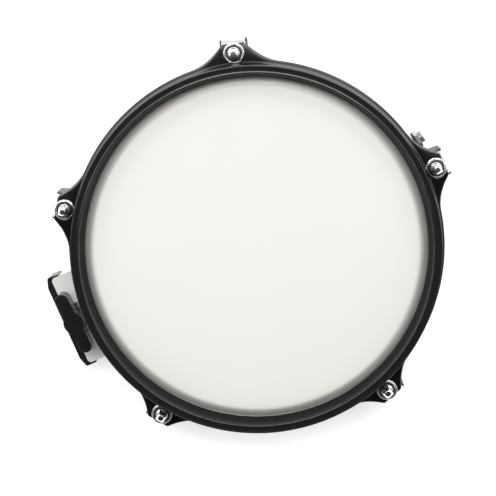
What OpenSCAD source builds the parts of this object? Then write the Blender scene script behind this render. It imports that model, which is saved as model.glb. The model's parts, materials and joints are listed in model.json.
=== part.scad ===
// Round practice pad: a woven head stretched over a closed shell by a five-eared hoop,
// with a trigger sensor and its socket inside and a clamp for a stand rod outside.
// Millimetres. +Z is up through the head; the origin is the centre of the mat's underside.

/* [Shell] */
// Outer radius of the shell
shell_r = 124; // [122:0.5:124]
// Thickness of the shell's wall
shell_wall = 5; // [4:0.5:6]
// Height of the playing surface above the floor
head_z = 69; // [68:0.5:72]
// Thickness of the non-slip mat
mat_t = 4; // [3:0.5:4]
// Thickness of the base plate
base_t = 4; // [4:0.5:5]

/* [Hoop] */
// Radius of the circle of tension rods
rod_circle_r = 146; // [146:0.5:147]
// Height of the rim above the playing surface
rim_rise = 10.5; // [9:0.5:12]
// Inner radius of the rim cover
cover_in_r = 131; // [130.5:0.5:131]
// Outer radius of the rim cover
cover_out_r = 137; // [137:0.5:138]
// Outer radius of the hoop's flange between the ears
flange_r = 140.5; // [140:0.5:142]
// Distance of an ear's tip beyond its rod
ear_tip = 7; // [6:0.5:8]

/* [Tension rods and lugs] */
// Radius of a rod's threaded shank
rod_r = 2.85; // [2.7:0.05:2.85]
// Width across the flats of a rod's key head
key_flats = 6.3; // [6:0.1:6.4]
// Outer radius of a rod's washer
washer_r = 7.75; // [7:0.25:8]
// Width of a lug
lug_w = 20.5; // [18:0.5:21]
// Distance of a lug's face beyond its rod
lug_face = 10; // [6.5:0.5:10]

/* [Rod clamp] */
// Direction of the clamp from the centre
clamp_a = 196.75; // [195:0.25:201]
// Width of the clamp box
clamp_w = 72; // [70:1:80]
// Radius of the bore for the stand rod
socket_r = 5.4; // [5.3:0.05:5.5]
// Distance from the centre to the wing screw
wing_x = 152; // [150:0.5:152]
// Span of the wing knob
wing_span = 49; // [44:1:49]
// Turn of the knob from the tangent when the clamp is tight
wing_rest_a = 3.2; // [-20:0.1:20]

/* [Sensor socket] */
// Direction of the socket from the centre
jack_a = 27; // [26.5:0.5:45]
// Radius of the hole for the plug
plug_r = 3.25; // [3.2:0.05:3.3]

/* [Hidden] */
$fn = 96;
rod_count = 5;
first_ear_a = 18;
pitch_a = 360 / rod_count;
eps = 0.5;
NUMBERS = ["1", "2", "3", "4", "5"];

// Heights
base_z = mat_t + base_t;
ear_z = head_z - 9;
ear_t = 7;
hoop_z = ear_z - 9;
flesh_z = ear_z + 1;
flesh_h = 5.5;
rim_z = head_z + rim_rise;
cover_z = head_z;
collar_z = hoop_z - 18.5;

// Radii of the head and hoop
shell_in_r = shell_r - shell_wall;
crown_r = shell_r - 3.7;
flesh_in_r = shell_r + 2.2;
flesh_out_r = cover_in_r - 0.4;
skirt_in_r = flesh_out_r + 0.6;
press_r = flesh_out_r - 2.4;
wall_in_r = cover_in_r + 1.6;
wall_out_r = cover_out_r - 1.6;
cove_r = cover_out_r - 0.6;
film_t = 0.5;
mat_r = 105;

// Half angle of an ear's flat tip, half angle where its flank ends, and how hollow the flank is
ear_top = [3.2, 13, 2.6];
ear_skirt = [3.2, 14, 2.4];
ear_skirt_t = 2;

// Radius and height of each kind of screw head, and the radius of the hole a screw taps
base_head = [3.4, 2];
wall_head = [3.8, 2.6];
collar_head = [2.6, 2.4];
tap_r = 1.6;

// Rods, washers and lugs
fit_gap = 0.05;
washer_t = 1.5;
collar_r = 5;
collar_t = 2;
key_h = 10;
rod_bottom_z = 20;
ear_bore_r = rod_r + 0.55;
nut_r = 5.45;
nut_z = 24;
nut_h = 20;
lug_bottom_z = 12;
lug_top_z = hoop_z - 3;
lug_x = rod_circle_r + lug_face;
gasket_t = 0.8;
lug_screw_z = [20, 40];
lug_screw_r = 2;

// Clamp for the stand rod
box_z = 5;
box_top = 27;
box_x = wing_x + 6;
socket_z = 14.5;
socket_in_x = shell_r + 3;
plate_t = 5;
lip_t = 1.5;
lip_l = 6;
shoe_r = 4;
shoe_top = 22.6;
wing_r = 2.95;
wing_z = collar_z + 1;
wing_h = 15;
wing_w = 9.6;
hub_r = 7.8;
box_screw_y = 22;
box_screw_z = [12.5, 22];
plate_x = box_x + plate_t;
plate_screw_y = 26;
plate_slope = [2.5, 6];
plate_screw_z = (box_z + box_top) / 2;
sink_t = 1.6;
collar_in_x = wing_x - 11;
collar_screw = [wing_x - 7.5, 9];

// Sensor and its support
boss_x = shell_in_r - 5.5;
boss_a = 36;
boss_top = 26;
post_x = 75;
bar_z = 50;
bar_t = 3;
bar_w = 40;
bar_l = 190;
foam_top = bar_z + bar_t + 3;
disc_t = 0.5;
rim_disc = [48, -3, 10];
foam_r = 15;
cone_r = [9, 4];

// Socket
jack_z = 36;
jack_box_w = 16;
jack_box_x = 142;
bezel_t = 1.8;
jack_body_r = 5.8;
jack_thread_r = 4.7;
jack_in_x = 112;
jack_out_x = 149.5;
lead_r = 0.9;
head_lead_route = [[12, 5, 57.5], [22, 10, 56.2], [36, 14, 54.6], [58, 15, 54.2], [80, 16, 54.2],
    [89, 22.5, 53.5], [95, 31, 47], [95.5, 41, 40.5], [96.4, 48, 38.2], [100.2, 51.2, 38]];
rim_lead_route = [[56, -2, 54.6], [66, 6, 54.2], [80, 11, 54.1], [94.5, 14, 54.6], [99.5, 18.5, 51.5],
    [101, 28, 43], [97.5, 41, 36], [96.8, 48.4, 34], [100.2, 51.2, 34]];

// Points of an arc about (x, y)
function arc(x, y, r, a0, a1, steps) =
    [for (i = [0:steps]) let (a = a0 + (a1 - a0) * i / steps) [x + r * cos(a), y + r * sin(a)]];

// Share of an ear's full reach at an angle from its middle: all of it over the flat tip,
// then a hollow flank that runs out into the flange
function ear_share(a, shape) =
    abs(a) <= shape[0] ? 1 : pow(1 - (abs(a) - shape[0]) / (shape[1] - shape[0]), shape[2]);

function unit(v) = v / norm(v);

function tangent(route, i) = unit(route[min(i + 1, len(route) - 1)] - route[max(i - 1, 0)]);

// A point between b and c on the smooth curve through a, b, c and d
function between(a, b, c, d, t) =
    (2 * b + (c - a) * t + (2 * a - 5 * b + 4 * c - d) * pow(t, 2)
    + (3 * b - 3 * c + d - a) * pow(t, 3)) / 2;

function smooth(route, steps) =
    let (last = len(route) - 1)
    concat(
        [for (i = [0:last - 1], s = [0:steps - 1])
            between(route[max(i - 1, 0)], route[i], route[i + 1], route[min(i + 2, last)], s / steps)],
        [route[last]]
    );

// A round lead of eight sides along a route
module lead(route) {
    sides = 8;
    line = smooth(route, 4);
    rings = len(line);
    points = [for (i = [0:rings - 1])
        let (t = tangent(line, i), s = unit(cross(t, [0, 0, 1])), u = cross(s, t))
        for (k = [0:sides - 1])
            line[i] + lead_r * (cos(360 * k / sides) * s + sin(360 * k / sides) * u)];
    walls = [for (i = [0:rings - 2], k = [0:sides - 1])
        let (a = i * sides + k, b = i * sides + (k + 1) % sides)
        for (f = [[a, b, a + sides], [b, b + sides, a + sides]]) f];
    first = [for (k = [sides - 1:-1:0]) k];
    last = [for (k = [0:sides - 1]) (rings - 1) * sides + k];
    polyhedron(points, concat(walls, [first, last]));
}

module ring(profile) rotate_extrude($fn = 180) polygon(profile);

module at_angle(a) rotate([0, 0, a]) children();

module each_ear() for (i = [0:rod_count - 1]) at_angle(first_ear_a + pitch_a * i) children();

// A cylinder that points outwards along X from x
module radial(x, length, r, y = 0, z = 0, r2 = undef)
    translate([x, y, z]) rotate([0, 90, 0]) cylinder(h = length, r1 = r, r2 = is_undef(r2) ? r : r2);

module block(x0, x1, width, z0, z1) translate([x0, -width / 2, z0]) cube([x1 - x0, width, z1 - z0]);

// A block with its plan cut to one outline and its side to another
module cut_block(plan, side, width) {
    intersection() {
        linear_extrude(head_z) polygon(plan);
        translate([0, width / 2, 0]) rotate([90, 0, 0]) linear_extrude(width) polygon(side);
    }
}

// A pan-headed screw that stands on z = 0 with its head up
module pan_screw(head, shank_r, length) {
    head_r = head[0];
    head_h = head[1];
    difference() {
        union() {
            cylinder(h = head_h * 0.6, r = head_r);
            translate([0, 0, head_h * 0.6]) cylinder(h = head_h * 0.4, r1 = head_r, r2 = head_r * 0.75);
            translate([0, 0, -length]) cylinder(h = length, r = shank_r);
        }
        translate([0, 0, head_h * 0.45]) cylinder(h = head_h, r = head_r * 0.42, $fn = 6);
    }
}

/* Shell and base */

module shell() color("white") difference() {
    union() {
        ring([[shell_in_r, base_z], [shell_r, base_z], [shell_r, head_z - 7], [shell_r - 0.8, head_z - 4],
            [crown_r + 1.3, head_z - 1.3], [crown_r, head_z - film_t - 0.1], [shell_in_r, head_z - 2.5]]);
        for (i = [0:rod_count - 1]) at_angle(boss_a + pitch_a * i) {
            translate([boss_x, 0, base_z]) cylinder(h = boss_top - base_z, r = 5);
            block(boss_x, shell_in_r + 1, 5, base_z + 1, boss_top - 1);
        }
    }
    for (i = [0:rod_count - 1]) at_angle(boss_a + pitch_a * i)
        translate([boss_x, 0, base_z - 1]) cylinder(h = 14, r = tap_r);
    each_ear() for (z = lug_screw_z) radial(shell_in_r - eps, shell_wall + 1, lug_screw_r + 0.2, z = z);
    at_angle(jack_a) radial(shell_in_r - 1, shell_wall + 2, jack_body_r + 0.1, z = jack_z);
    at_angle(clamp_a) for (y = [-box_screw_y, box_screw_y], z = box_screw_z)
        radial(shell_in_r - 8, shell_wall + 10, lug_screw_r + 0.2, y, z);
}

module base_plate() color("dimgray") difference() {
    ring([[0, mat_t], [shell_r - 1.5, mat_t], [shell_r, mat_t + 1.5], [shell_r, base_z], [0, base_z]]);
    for (i = [0:rod_count - 1]) at_angle(boss_a + pitch_a * i) translate([boss_x, 0, 0]) screw_seat();
    for (x = [-post_x, post_x]) translate([x, 0, 0]) screw_seat();
}

// The hole and the sunk seat of a screw that goes up through the base plate
module screw_seat() {
    translate([0, 0, mat_t - 1]) cylinder(h = base_t + 2, r = 1.8);
    translate([0, 0, mat_t - 1]) cylinder(h = 3.3, r = base_head[0] + 0.3);
}

module base_mat() color("black")
    ring([[0, 0], [mat_r - 1.5, 0], [mat_r, 1.5], [mat_r, mat_t], [0, mat_t]]);

module base_screws() color("silver") {
    for (i = [0:rod_count - 1]) at_angle(boss_a + pitch_a * i) translate([boss_x, 0, 0]) base_screw();
    for (x = [-post_x, post_x]) translate([x, 0, 0]) base_screw();
}

module base_screw()
    translate([0, 0, mat_t + 2.3]) mirror([0, 0, 1]) pan_screw(base_head, tap_r - fit_gap, 12);

/* Hoop, rim cover and head */

// Plan of an ear, from inside the hoop's wall out to the flat tip
module ear_plan(shape) {
    spread = shape[1];
    steps = 28;
    tip_r = rod_circle_r + ear_tip;
    angles = [for (i = [0:steps]) -spread + 2 * spread * i / steps];
    edge = [for (a = angles)
        let (r = flange_r - 0.2 + (tip_r / cos(a) - flange_r + 0.2) * ear_share(a, shape))
        [r * cos(a), r * sin(a)]];
    polygon(concat(edge, arc(0, 0, skirt_in_r + 1.5, spread, -spread, 12)));
}

module hoop() color("#181818") difference() {
    union() {
        ring(concat(
            [[skirt_in_r, hoop_z], [skirt_in_r + 3.3, hoop_z], [flange_r - 2, hoop_z + 3]],
            [[flange_r, hoop_z + 6.5], [flange_r, ear_z]],
            [for (a = [15:15:90])
                [flange_r - (flange_r - cove_r) * sin(a), cover_z - (cover_z - ear_z) * cos(a)]],
            [[wall_out_r, cover_z], [wall_out_r, rim_z - 2], [wall_in_r, rim_z - 2]],
            [[wall_in_r, cover_z + 0.5], [cover_in_r + 0.6, cover_z + 0.5], [press_r, flesh_z + 2.5]],
            [[press_r, flesh_z], [skirt_in_r, flesh_z]]
        ));
        each_ear() {
            skirt_top = ear_z - ear_t + ear_skirt_t;
            translate([0, 0, skirt_top]) linear_extrude(ear_z - skirt_top) ear_plan(ear_top);
            translate([0, 0, ear_z - ear_t]) linear_extrude(ear_skirt_t) ear_plan(ear_skirt);
        }
    }
    each_ear() translate([rod_circle_r, 0, 0]) {
        translate([0, 0, hoop_z - 1]) cylinder(h = ear_z - hoop_z + 2, r = ear_bore_r);
        translate([0, 0, ear_z]) cylinder(h = cover_z - ear_z, r = washer_r + 0.4);
    }
}

module rim_cover() color("#303030") {
    edge = 0.9;
    ring(concat(
        [[cover_in_r, cover_z + 0.6]],
        arc(cover_in_r + edge, rim_z - edge, edge, 180, 90, 5),
        arc(cover_out_r - edge, rim_z - edge, edge, 90, 0, 5),
        [[cover_out_r, cover_z], [wall_out_r, cover_z], [wall_out_r, rim_z - 2], [wall_in_r, rim_z - 2]],
        [[wall_in_r, cover_z + 0.6]]
    ));
}

module woven_head() color("ivory") {
    seat_r = flesh_in_r + 1.3;
    ring([[0, head_z - film_t], [crown_r, head_z - film_t], [crown_r + 1.5, head_z - film_t - 0.45],
        [seat_r - 0.63, flesh_z], [seat_r, flesh_z], [crown_r + 1.9, head_z - 0.6], [crown_r + 0.2, head_z],
        [0, head_z]]);
}

module flesh_hoop() color("silver")
    ring([[flesh_in_r, flesh_z - flesh_h + 0.5], [flesh_in_r + 0.5, flesh_z - flesh_h],
        [flesh_out_r - 0.5, flesh_z - flesh_h], [flesh_out_r, flesh_z - flesh_h + 0.5],
        [flesh_out_r, flesh_z], [flesh_in_r, flesh_z]]);

/* Tension rods and lugs */

module at_rod(i) at_angle(first_ear_a + pitch_a * i) translate([rod_circle_r, 0, 0]) children();

module tension_rod(i) color("gainsboro") at_rod(i) {
    collar_bottom = ear_z + washer_t + 2 * fit_gap;
    translate([0, 0, rod_bottom_z]) cylinder(h = collar_bottom - rod_bottom_z, r = rod_r);
    translate([0, 0, collar_bottom]) cylinder(h = collar_t, r = collar_r);
    translate([0, 0, collar_bottom + collar_t]) intersection() {
        translate([-key_flats / 2, -key_flats / 2, 0]) cube([key_flats, key_flats, key_h]);
        union() {
            cylinder(h = key_h - 1.2, r = key_flats * 0.72);
            translate([0, 0, key_h - 1.2]) cylinder(h = 1.2, r1 = key_flats * 0.72, r2 = key_flats * 0.5);
        }
    }
}

module rod_washer(i) color("silver") at_rod(i) translate([0, 0, ear_z + fit_gap]) difference() {
    cylinder(h = washer_t, r = washer_r);
    translate([0, 0, -eps]) cylinder(h = washer_t + 1, r = rod_r + 0.25);
}

module lug(i) color("gainsboro") at_angle(first_ear_a + pitch_a * i) difference() {
    half = lug_w / 2;
    cut_block(
        [[shell_r - 2, -half], [lug_x - 2, -half], [lug_x, 2 - half], [lug_x, half - 2], [lug_x - 2, half],
            [shell_r - 2, half]],
        [[shell_r - 2, lug_bottom_z], [rod_circle_r, lug_bottom_z], [lug_x, lug_bottom_z + 6],
            [lug_x, lug_top_z - 3], [lug_x - 3, lug_top_z], [shell_r - 2, lug_top_z]],
        lug_w
    );
    cylinder(h = head_z, r = shell_r + gasket_t);
    translate([rod_circle_r, 0, 0]) cylinder(h = nut_z + nut_h, r = nut_r + 0.05);
    translate([rod_circle_r, 0, 0]) cylinder(h = head_z, r = rod_r + 0.7);
    for (z = lug_screw_z) radial(shell_r, 12, lug_screw_r, z = z);
}

module lug_nuts() color("goldenrod") for (i = [0:rod_count - 1]) at_rod(i)
    translate([0, 0, nut_z]) difference() {
        cylinder(h = nut_h, r = nut_r);
        translate([0, 0, -eps]) cylinder(h = nut_h + 1, r = rod_r + fit_gap);
    }

// A piece of the shell's outer face, as wide and tall as what it sits behind
module gasket(width, z0, z1, screw_ys, screw_zs) difference() {
    intersection() {
        ring([[shell_r, z0], [shell_r + gasket_t, z0], [shell_r + gasket_t, z1], [shell_r, z1]]);
        block(shell_in_r - 20, shell_r + 5, width, z0, z1);
    }
    for (y = screw_ys, z = screw_zs) radial(shell_r - 15, 20, lug_screw_r + 0.2, y, z);
}

module lug_gaskets() color("black")
    each_ear() gasket(lug_w + 2, lug_bottom_z - 1, lug_top_z + 1, [0], lug_screw_z);

module lug_screws() color("silver") each_ear() for (z = lug_screw_z)
    translate([shell_in_r - 0.3, 0, z]) rotate([0, -90, 0]) pan_screw(wall_head, lug_screw_r - fit_gap, 15);

/* Clamp for the stand rod */

module clamp_box() color("white") at_angle(clamp_a) difference() {
    half = clamp_w / 2;
    cut_block(
        [[shell_in_r - 10, -half], [box_x - 2, -half], [box_x, 2 - half], [box_x, half - 2],
            [box_x - 2, half], [shell_in_r - 10, half]],
        [[shell_in_r - 10, box_z], [box_x, box_z], [box_x, box_top], [shell_in_r - 10, box_top]],
        clamp_w
    );
    cylinder(h = head_z, r = shell_r + gasket_t);
    radial(socket_in_x, box_x - socket_in_x + 1, socket_r, z = socket_z);
    translate([wing_x, 0, socket_z]) cylinder(h = box_top, r = shoe_r + fit_gap);
    for (y = [-collar_screw[1], collar_screw[1]])
        translate([collar_screw[0], y, box_top - 5]) cylinder(h = 6, r = 1.2);
    for (y = [-box_screw_y, box_screw_y], z = box_screw_z)
        radial(shell_in_r, 17, lug_screw_r, y, z);
    for (y = [-plate_screw_y, plate_screw_y]) radial(box_x - 9, 10, 1.5, y, plate_screw_z);
}

module clamp_gasket() color("black") at_angle(clamp_a)
    gasket(clamp_w - 1, box_z + 0.5, box_top - 0.5, [-box_screw_y, box_screw_y], box_screw_z);

module clamp_box_screws() color("silver") at_angle(clamp_a)
    for (y = [-box_screw_y, box_screw_y], z = box_screw_z)
        translate([sqrt(pow(shell_in_r, 2) - pow(box_screw_y + wall_head[0], 2)) - 0.3, y, z])
            rotate([0, -90, 0]) pan_screw(wall_head, lug_screw_r - fit_gap, 19);

module clamp_plate() color("#202020") at_angle(clamp_a) difference() {
    half = clamp_w / 2;
    translate([0, 0, box_z]) linear_extrude(box_top - box_z) difference() {
        polygon([[box_x - lip_l, -half - lip_t], [plate_x - plate_slope[0], -half - lip_t],
            [plate_x, plate_slope[1] - half], [plate_x, half - plate_slope[1]],
            [plate_x - plate_slope[0], half + lip_t], [box_x - lip_l, half + lip_t]]);
        polygon([[box_x - lip_l - 1, -half], [box_x - 2, -half], [box_x, 2 - half], [box_x, half - 2],
            [box_x - 2, half], [box_x - lip_l - 1, half]]);
    }
    radial(box_x - 1, plate_t + 2, socket_r + 0.8, z = socket_z);
    for (y = [-plate_screw_y, plate_screw_y]) {
        radial(box_x - 1, plate_t + 2, tap_r, y, plate_screw_z);
        radial(plate_x - sink_t, sink_t + 0.01, tap_r, y, plate_screw_z, r2 = 3.2);
    }
}

module clamp_plate_screws() color("silver") at_angle(clamp_a) for (y = [-plate_screw_y, plate_screw_y])
    difference() {
        union() {
            radial(plate_x - sink_t, sink_t, 1.55, y, plate_screw_z, r2 = 3.1);
            radial(box_x - 7, 7 + plate_t - sink_t, 1.45, y, plate_screw_z);
        }
        translate([plate_x - 1, y, plate_screw_z]) rotate([0, 90, 0]) cylinder(h = 2, r = 1.2, $fn = 6);
    }

module clamp_shoe() color("silver") at_angle(clamp_a) difference() {
    translate([wing_x, 0, socket_z + 3]) cylinder(h = shoe_top - socket_z - 3, r = shoe_r);
    radial(wing_x - 10, 20, socket_r, z = socket_z);
}

module screw_collar() color("gray") at_angle(clamp_a) difference() {
    union() {
        block(collar_in_x, wing_x + 4.5, 25, box_top, box_top + 2);
        translate([wing_x, 0, box_top - 2]) cylinder(h = 2.5, r = shoe_r);
        translate([wing_x, 0, box_top + 1.5]) cylinder(h = collar_z - box_top - 1.5, r = 5.2);
    }
    translate([wing_x, 0, box_top - 3]) cylinder(h = 20, r = wing_r + fit_gap);
    for (y = [-collar_screw[1], collar_screw[1]])
        translate([collar_screw[0], y, box_top - 1]) cylinder(h = 4, r = 1.4);
}

module screw_collar_screws() color("silver") at_angle(clamp_a)
    for (y = [-collar_screw[1], collar_screw[1]])
        translate([collar_screw[0], y, box_top + 2]) pan_screw(collar_head, 1.15, 6.5);

module wing_screw() color("silver") at_angle(clamp_a)
    translate([wing_x, 0, shoe_top + fit_gap]) cylinder(h = wing_z + 8 - shoe_top - fit_gap, r = wing_r);

module wing_knob() color("#202020") at_angle(clamp_a) translate([wing_x, 0, wing_z]) difference() {
    rotate([0, 0, wing_rest_a]) linear_extrude(wing_h) {
        circle(r = hub_r);
        translate([-wing_w / 2, wing_w / 2 - wing_span / 2]) square([wing_w, wing_span - wing_w]);
        for (side = [-1, 1]) translate([0, side * (wing_span - wing_w) / 2]) circle(r = wing_w / 2);
    }
    translate([0, 0, -1]) cylinder(h = 9, r = wing_r);
}

/* Sensor and socket */

module sensor_bar() color("lightgray") difference() {
    union() {
        translate([-bar_l / 2, -bar_w / 2, bar_z]) cube([bar_l, bar_w, bar_t]);
        for (y = [-bar_w / 2, bar_w / 2 - 2]) translate([-bar_l / 2, y, bar_z - 6]) cube([bar_l, 2, 6 + eps]);
    }
    for (x = [-post_x, post_x]) translate([x, 0, bar_z - 1]) cylinder(h = bar_t + 2, r = 1.8);
}

module sensor_posts() color("goldenrod") for (x = [-post_x, post_x]) translate([x, 0, base_z]) difference() {
    cylinder(h = bar_z - base_z, r = 5, $fn = 6);
    translate([0, 0, -1]) cylinder(h = 12, r = tap_r);
    translate([0, 0, bar_z - base_z - 10]) cylinder(h = 11, r = tap_r);
}

module sensor_bar_screws() color("silver") for (x = [-post_x, post_x])
    translate([x, 0, bar_z + bar_t]) pan_screw(base_head, tap_r - fit_gap, 9);

module sensor_foam() color("dimgray") translate([0, 0, bar_z + bar_t])
    cylinder(h = foam_top - bar_z - bar_t, r = foam_r);

module piezo_disc(r) {
    cylinder(h = disc_t / 2, r = r);
    translate([0, 0, disc_t / 2]) cylinder(h = disc_t / 2, r = r * 0.7);
}

module head_sensor() color("goldenrod") translate([0, 0, foam_top]) piezo_disc(foam_r - 1.5);

module trigger_cone() color("gray") translate([0, 0, foam_top + disc_t]) {
    h = head_z - film_t - foam_top - disc_t - 0.1;
    cylinder(h = h, r1 = cone_r[0], r2 = cone_r[1]);
}

module rim_sensor() color("goldenrod") translate([rim_disc[0], rim_disc[1], bar_z + bar_t])
    piezo_disc(rim_disc[2]);

module jack_box() color("gainsboro") at_angle(jack_a) difference() {
    half = jack_box_w / 2;
    cut_block(
        [[shell_r - 2, -half], [jack_box_x - 1.5, -half], [jack_box_x, 1.5 - half], [jack_box_x, half - 1.5],
            [jack_box_x - 1.5, half], [shell_r - 2, half]],
        [[shell_r - 2, jack_z - 11], [jack_box_x - 3, jack_z - 11], [jack_box_x, jack_z - 8],
            [jack_box_x, jack_z + 8], [jack_box_x - 3, jack_z + 11], [shell_r - 2, jack_z + 11]],
        jack_box_w
    );
    cylinder(h = head_z, r = shell_r + 0.1);
    radial(shell_r - 3, jack_box_x, jack_body_r + 0.1, z = jack_z);
}

module jack_bezel() color("#202020") at_angle(jack_a) difference() {
    block(jack_box_x, jack_box_x + bezel_t, 12.4, jack_z - 7.6, jack_z + 7.6);
    radial(jack_box_x - 1, bezel_t + 2, jack_thread_r + 0.1, z = jack_z);
}

module output_jack() color("#303030") at_angle(jack_a) difference() {
    union() {
        radial(jack_in_x, jack_box_x - jack_in_x, jack_body_r, z = jack_z);
        radial(shell_in_r - 2.6, 2, 8.5, z = jack_z);
        radial(jack_box_x - 1, jack_out_x - jack_box_x + 1, jack_thread_r, z = jack_z);
    }
    radial(jack_in_x + 6, jack_out_x, plug_r, z = jack_z);
}

module jack_nut() color("silver") at_angle(jack_a) difference() {
    translate([jack_box_x + bezel_t, 0, jack_z]) rotate([0, 90, 0]) cylinder(h = 2.6, r = 7, $fn = 6);
    radial(jack_box_x, 10, jack_thread_r, z = jack_z);
}

module head_sensor_lead() color("red") lead(head_lead_route);

module rim_sensor_lead() color("black") lead(rim_lead_route);

shell();
base_plate();
base_mat();
base_screws();
hoop();
rim_cover();
woven_head();
flesh_hoop();
for (i = [0:rod_count - 1]) {
    tension_rod(i);
    rod_washer(i);
    lug(i);
}
lug_nuts();
lug_gaskets();
lug_screws();
clamp_box();
clamp_gasket();
clamp_box_screws();
clamp_plate();
clamp_plate_screws();
clamp_shoe();
screw_collar();
screw_collar_screws();
wing_screw();
wing_knob();
sensor_bar();
sensor_posts();
sensor_bar_screws();
sensor_foam();
head_sensor();
trigger_cone();
rim_sensor();
jack_box();
jack_bezel();
output_jack();
jack_nut();
head_sensor_lead();
rim_sensor_lead();
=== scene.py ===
# %% [markdown]
# # A round practice pad
# A quiet pad is built like a small drum. A woven head is laid over a shallow shell, a hoop with five
# ears presses it down, and five key rods pull the ears towards lugs on the shell. A clamp at one side
# takes a stand rod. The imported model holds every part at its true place, so it is loaded first and all
# that follows is shaped around it. Lengths are written in millimetres and turned into metres once.

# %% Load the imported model
import json
import math

import bmesh
import bpy
from mathutils import Matrix, Vector


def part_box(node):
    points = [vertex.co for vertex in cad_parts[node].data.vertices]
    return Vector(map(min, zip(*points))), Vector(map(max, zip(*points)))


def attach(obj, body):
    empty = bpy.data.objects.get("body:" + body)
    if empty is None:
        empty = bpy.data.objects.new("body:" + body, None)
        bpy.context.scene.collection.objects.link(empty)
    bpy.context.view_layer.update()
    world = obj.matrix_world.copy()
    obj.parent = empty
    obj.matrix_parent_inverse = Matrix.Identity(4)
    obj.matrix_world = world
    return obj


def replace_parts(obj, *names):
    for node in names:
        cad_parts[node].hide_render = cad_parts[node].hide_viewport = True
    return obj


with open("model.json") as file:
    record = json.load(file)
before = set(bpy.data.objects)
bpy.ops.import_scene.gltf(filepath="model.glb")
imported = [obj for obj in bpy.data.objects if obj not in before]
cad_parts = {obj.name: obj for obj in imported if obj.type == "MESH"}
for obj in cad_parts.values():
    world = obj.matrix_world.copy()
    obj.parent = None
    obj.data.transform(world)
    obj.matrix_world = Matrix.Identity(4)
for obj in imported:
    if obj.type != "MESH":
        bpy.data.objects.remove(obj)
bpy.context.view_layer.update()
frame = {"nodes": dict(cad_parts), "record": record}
nodes = frame["nodes"]
record = frame["record"]
MM = 0.001


def add_object(name, data):
    """A new object at the origin, in the scene."""
    made = bpy.data.objects.new(name, data)
    bpy.context.collection.objects.link(made)
    return made


# %% [markdown]
# ## Camera
# The pad is seen from almost straight above, leaning a little towards the ear at the top. A long lens
# keeps the round hoop round. The camera's three axes are found by tipping the straight-down view about
# one level line, which is easier to read than three Euler angles.

# %% Camera
lean, lean_line, roll = math.radians(8.8), math.radians(165.5), math.radians(-6.5)
camera_distance, camera_right, camera_up = 1.2, -0.00627, 0.00067
tip = Matrix.Rotation(lean, 3, Vector((math.cos(lean_line), math.sin(lean_line), 0)))
right = tip @ Vector((math.cos(roll), math.sin(roll), 0))
up = tip @ Vector((-math.sin(roll), math.cos(roll), 0))
back = tip @ Vector((0, 0, 1))
aim = Vector((0, 0, 0.0615))

camera_data = bpy.data.cameras.new("camera")
camera_data.lens = 116.7
camera_data.sensor_width = 36
camera = add_object("camera", camera_data)
spot = aim + camera_distance * back + camera_right * right + camera_up * up
camera.matrix_world = Matrix.Translation(spot) @ Matrix((right, up, back)).transposed().to_4x4()
bpy.context.scene.camera = camera
print("camera stands", round(spot.z, 3), "m above the floor")

# %% [markdown]
# ## Light and floor
# A product table: a pale floor, one wide soft box over the back, two more to the left and right, and two
# low strips at the back that draw thin bright lines along round edges. The room's walls are bright and
# its ceiling is dark, so flat gloss tops stay black.

# %% Soft boxes
def soft_box(name, azimuth, elevation, distance, size, watts):
    light = bpy.data.lights.new(name, "AREA")
    light.shape, light.size, light.size_y = "RECTANGLE", size[0], size[1]
    light.energy = watts
    box = add_object(name, light)
    a, e = math.radians(azimuth), math.radians(elevation)
    place = aim + distance * Vector((math.cos(a) * math.cos(e), math.sin(a) * math.cos(e), math.sin(e)))
    box.matrix_world = Matrix.Translation(place) @ (place - aim).to_track_quat("Z", "Y").to_matrix().to_4x4()


soft_box("soft_box_over", 82, 68, 2.2, (1.5, 0.5), 22)
soft_box("soft_box_left", 150, 54, 2.2, (1.1, 0.6), 11)
soft_box("soft_box_right", 22, 54, 2.2, (1.1, 0.6), 9)
soft_box("low_strip_left", 118, 26, 2.2, (1.9, 0.45), 9)
soft_box("low_strip_right", 62, 26, 2.2, (1.9, 0.45), 9)

# %% [markdown]
# ## Writing node trees as plain Python
# A finish is a small network of nodes. One class makes any node from its kind, its settings and its
# sockets, and another wraps an output so that `1 - grain * 0.2` adds the Math nodes by itself. The same
# two classes build the Geometry Nodes trees further down.

# %% Wires and trees
class Wire:
    """An output socket that can be used in expressions."""

    def __init__(self, tree, socket):
        self.tree, self.socket = tree, socket

    def maths(self, operation, other=None, swap=False):
        pair = (other, self) if swap else (self, other)
        values = {i: v for i, v in enumerate(pair) if v is not None}
        return self.tree.node("ShaderNodeMath", {"operation": operation}, values)

    def __add__(self, other):
        return self.maths("ADD", other)

    def __radd__(self, other):
        return self.maths("ADD", other)

    def __sub__(self, other):
        return self.maths("SUBTRACT", other)

    def __rsub__(self, other):
        return self.maths("SUBTRACT", other, swap=True)

    def __mul__(self, other):
        return self.maths("MULTIPLY", other)

    def __rmul__(self, other):
        return self.maths("MULTIPLY", other)

    def __truediv__(self, other):
        return self.maths("DIVIDE", other)

    def __rtruediv__(self, other):
        return self.maths("DIVIDE", other, swap=True)

    def __pow__(self, other):
        return self.maths("POWER", other)

    def __mod__(self, other):
        return self.maths("FLOORED_MODULO", other)

    def __abs__(self):
        return self.maths("ABSOLUTE")

    def clamped(self):
        """Held between 0 and 1."""
        return self.maths("MAXIMUM", 0).maths("MINIMUM", 1)


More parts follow.
